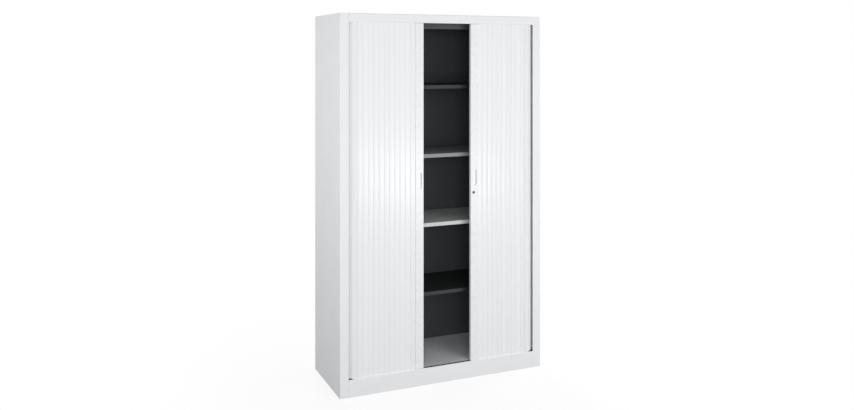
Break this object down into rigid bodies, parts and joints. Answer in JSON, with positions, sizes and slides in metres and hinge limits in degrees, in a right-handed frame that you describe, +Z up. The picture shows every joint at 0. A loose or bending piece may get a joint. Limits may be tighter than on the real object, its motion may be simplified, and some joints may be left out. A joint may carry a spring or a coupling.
{
  "type": "roller shutter cabinet",
  "caption": "Tall free-standing steel office cabinet with side-opening slatted roller shutters, shelves, hanging file rails, recessed grips and a cylinder lock.",
  "frame": {"origin": "on the floor, under the middle of the cabinet's box", "axes": "+X to the cabinet's right as seen from the front, +Y to its back, +Z up; the front faces -Y"},
  "size_m": [1.2, 0.43, 1.98],
  "materials": {
    "white_steel": "white powder coat, fine texture, satin",
    "anthracite_steel": "anthracite powder coat, satin",
    "grey_steel": "light grey powder coat, satin",
    "mid_grey_steel": "mid grey powder coat, satin",
    "zinc_steel": "zinc plated",
    "white_slats": "extruded polypropylene, satin",
    "white_plastic": "moulded and extruded ABS, half gloss",
    "black_plastic": "black polyamide",
    "nickel": "nickel plated",
    "rubber": "black rubber"
  },
  "bodies": {
    "carcass": {"left_side_panel": "white_steel", "right_side_panel": "white_steel", "header_rail": "white_steel", "plinth": "white_steel", "base_panel": "white_steel", "top_panel": "white_steel", "back_panel": "white_steel", "cabinet_floor": "white_steel", "ceiling_panel": "anthracite_steel", "left_liner": "anthracite_steel", "right_liner": "anthracite_steel", "back_liner": "anthracite_steel", "shelf_1": "anthracite_steel", "shelf_4": "anthracite_steel", "file_rail_front": "anthracite_steel", "file_rail_rear": "anthracite_steel", "shelf_2": "grey_steel", "shelf_3": "mid_grey_steel", "shelf_1_clip_left_front": "zinc_steel", "shelf_1_clip_left_rear": "zinc_steel", "shelf_1_clip_right_front": "zinc_steel", "shelf_1_clip_right_rear": "zinc_steel", "shelf_2_clip_left_front": "zinc_steel", "shelf_2_clip_left_rear": "zinc_steel", "shelf_2_clip_right_front": "zinc_steel", "shelf_2_clip_right_rear": "zinc_steel", "shelf_3_clip_left_front": "zinc_steel", "shelf_3_clip_left_rear": "zinc_steel", "shelf_3_clip_right_front": "zinc_steel", "shelf_3_clip_right_rear": "zinc_steel", "shelf_4_clip_left_front": "zinc_steel", "shelf_4_clip_left_rear": "zinc_steel", "shelf_4_clip_right_front": "zinc_steel", "shelf_4_clip_right_rear": "zinc_steel", "left_foot_rail": "zinc_steel", "right_foot_rail": "zinc_steel", "left_top_track": "black_plastic", "left_bottom_track": "black_plastic", "right_top_track": "black_plastic", "right_bottom_track": "black_plastic"},
    "left_shutter": {"left_stile_lower": "white_plastic", "left_stile_upper": "white_plastic", "left_grip": "white_plastic", "left_bottom_glide": "black_plastic", "left_top_glide": "black_plastic", "left_curtain": "white_slats", "lock_keeper": "zinc_steel"},
    "right_shutter": {"right_stile_lower": "white_plastic", "right_stile_upper": "white_plastic", "right_grip": "white_plastic", "right_bottom_glide": "black_plastic", "right_top_glide": "black_plastic", "right_curtain": "white_slats", "lock_barrel": "nickel"},
    "lock": {"lock_plug": "nickel", "lock_hook": "zinc_steel"},
    "front_left_foot": {"front_left_foot": "rubber"},
    "front_right_foot": {"front_right_foot": "rubber"},
    "rear_left_foot": {"rear_left_foot": "rubber"},
    "rear_right_foot": {"rear_right_foot": "rubber"}
  },
  "joints": [
    {"name": "left_shutter_slide", "type": "slide", "parent": "carcass", "child": "left_shutter", "axis": [1, 0, 0], "range_m": [-0.33, 0.1255], "deforming": ["left_curtain"]},
    {"name": "right_shutter_slide", "type": "slide", "parent": "carcass", "child": "right_shutter", "axis": [1, 0, 0], "range_m": [-0.1575, 0.298], "deforming": ["right_curtain"]},
    {"name": "lock_turn", "type": "hinge", "parent": "right_shutter", "child": "lock", "pos_m": [0.176, -0.2119, 1.011], "axis": [0, 1, 0], "range_deg": [0, 90]},
    {"name": "front_left_foot_level", "type": "slide", "parent": "carcass", "child": "front_left_foot", "axis": [0, 0, -1], "range_m": [0, 0.015]},
    {"name": "front_right_foot_level", "type": "slide", "parent": "carcass", "child": "front_right_foot", "axis": [0, 0, -1], "range_m": [0, 0.015]},
    {"name": "rear_left_foot_level", "type": "slide", "parent": "carcass", "child": "rear_left_foot", "axis": [0, 0, -1], "range_m": [0, 0.015]},
    {"name": "rear_right_foot_level", "type": "slide", "parent": "carcass", "child": "rear_right_foot", "axis": [0, 0, -1], "range_m": [0, 0.015]}
  ]
}
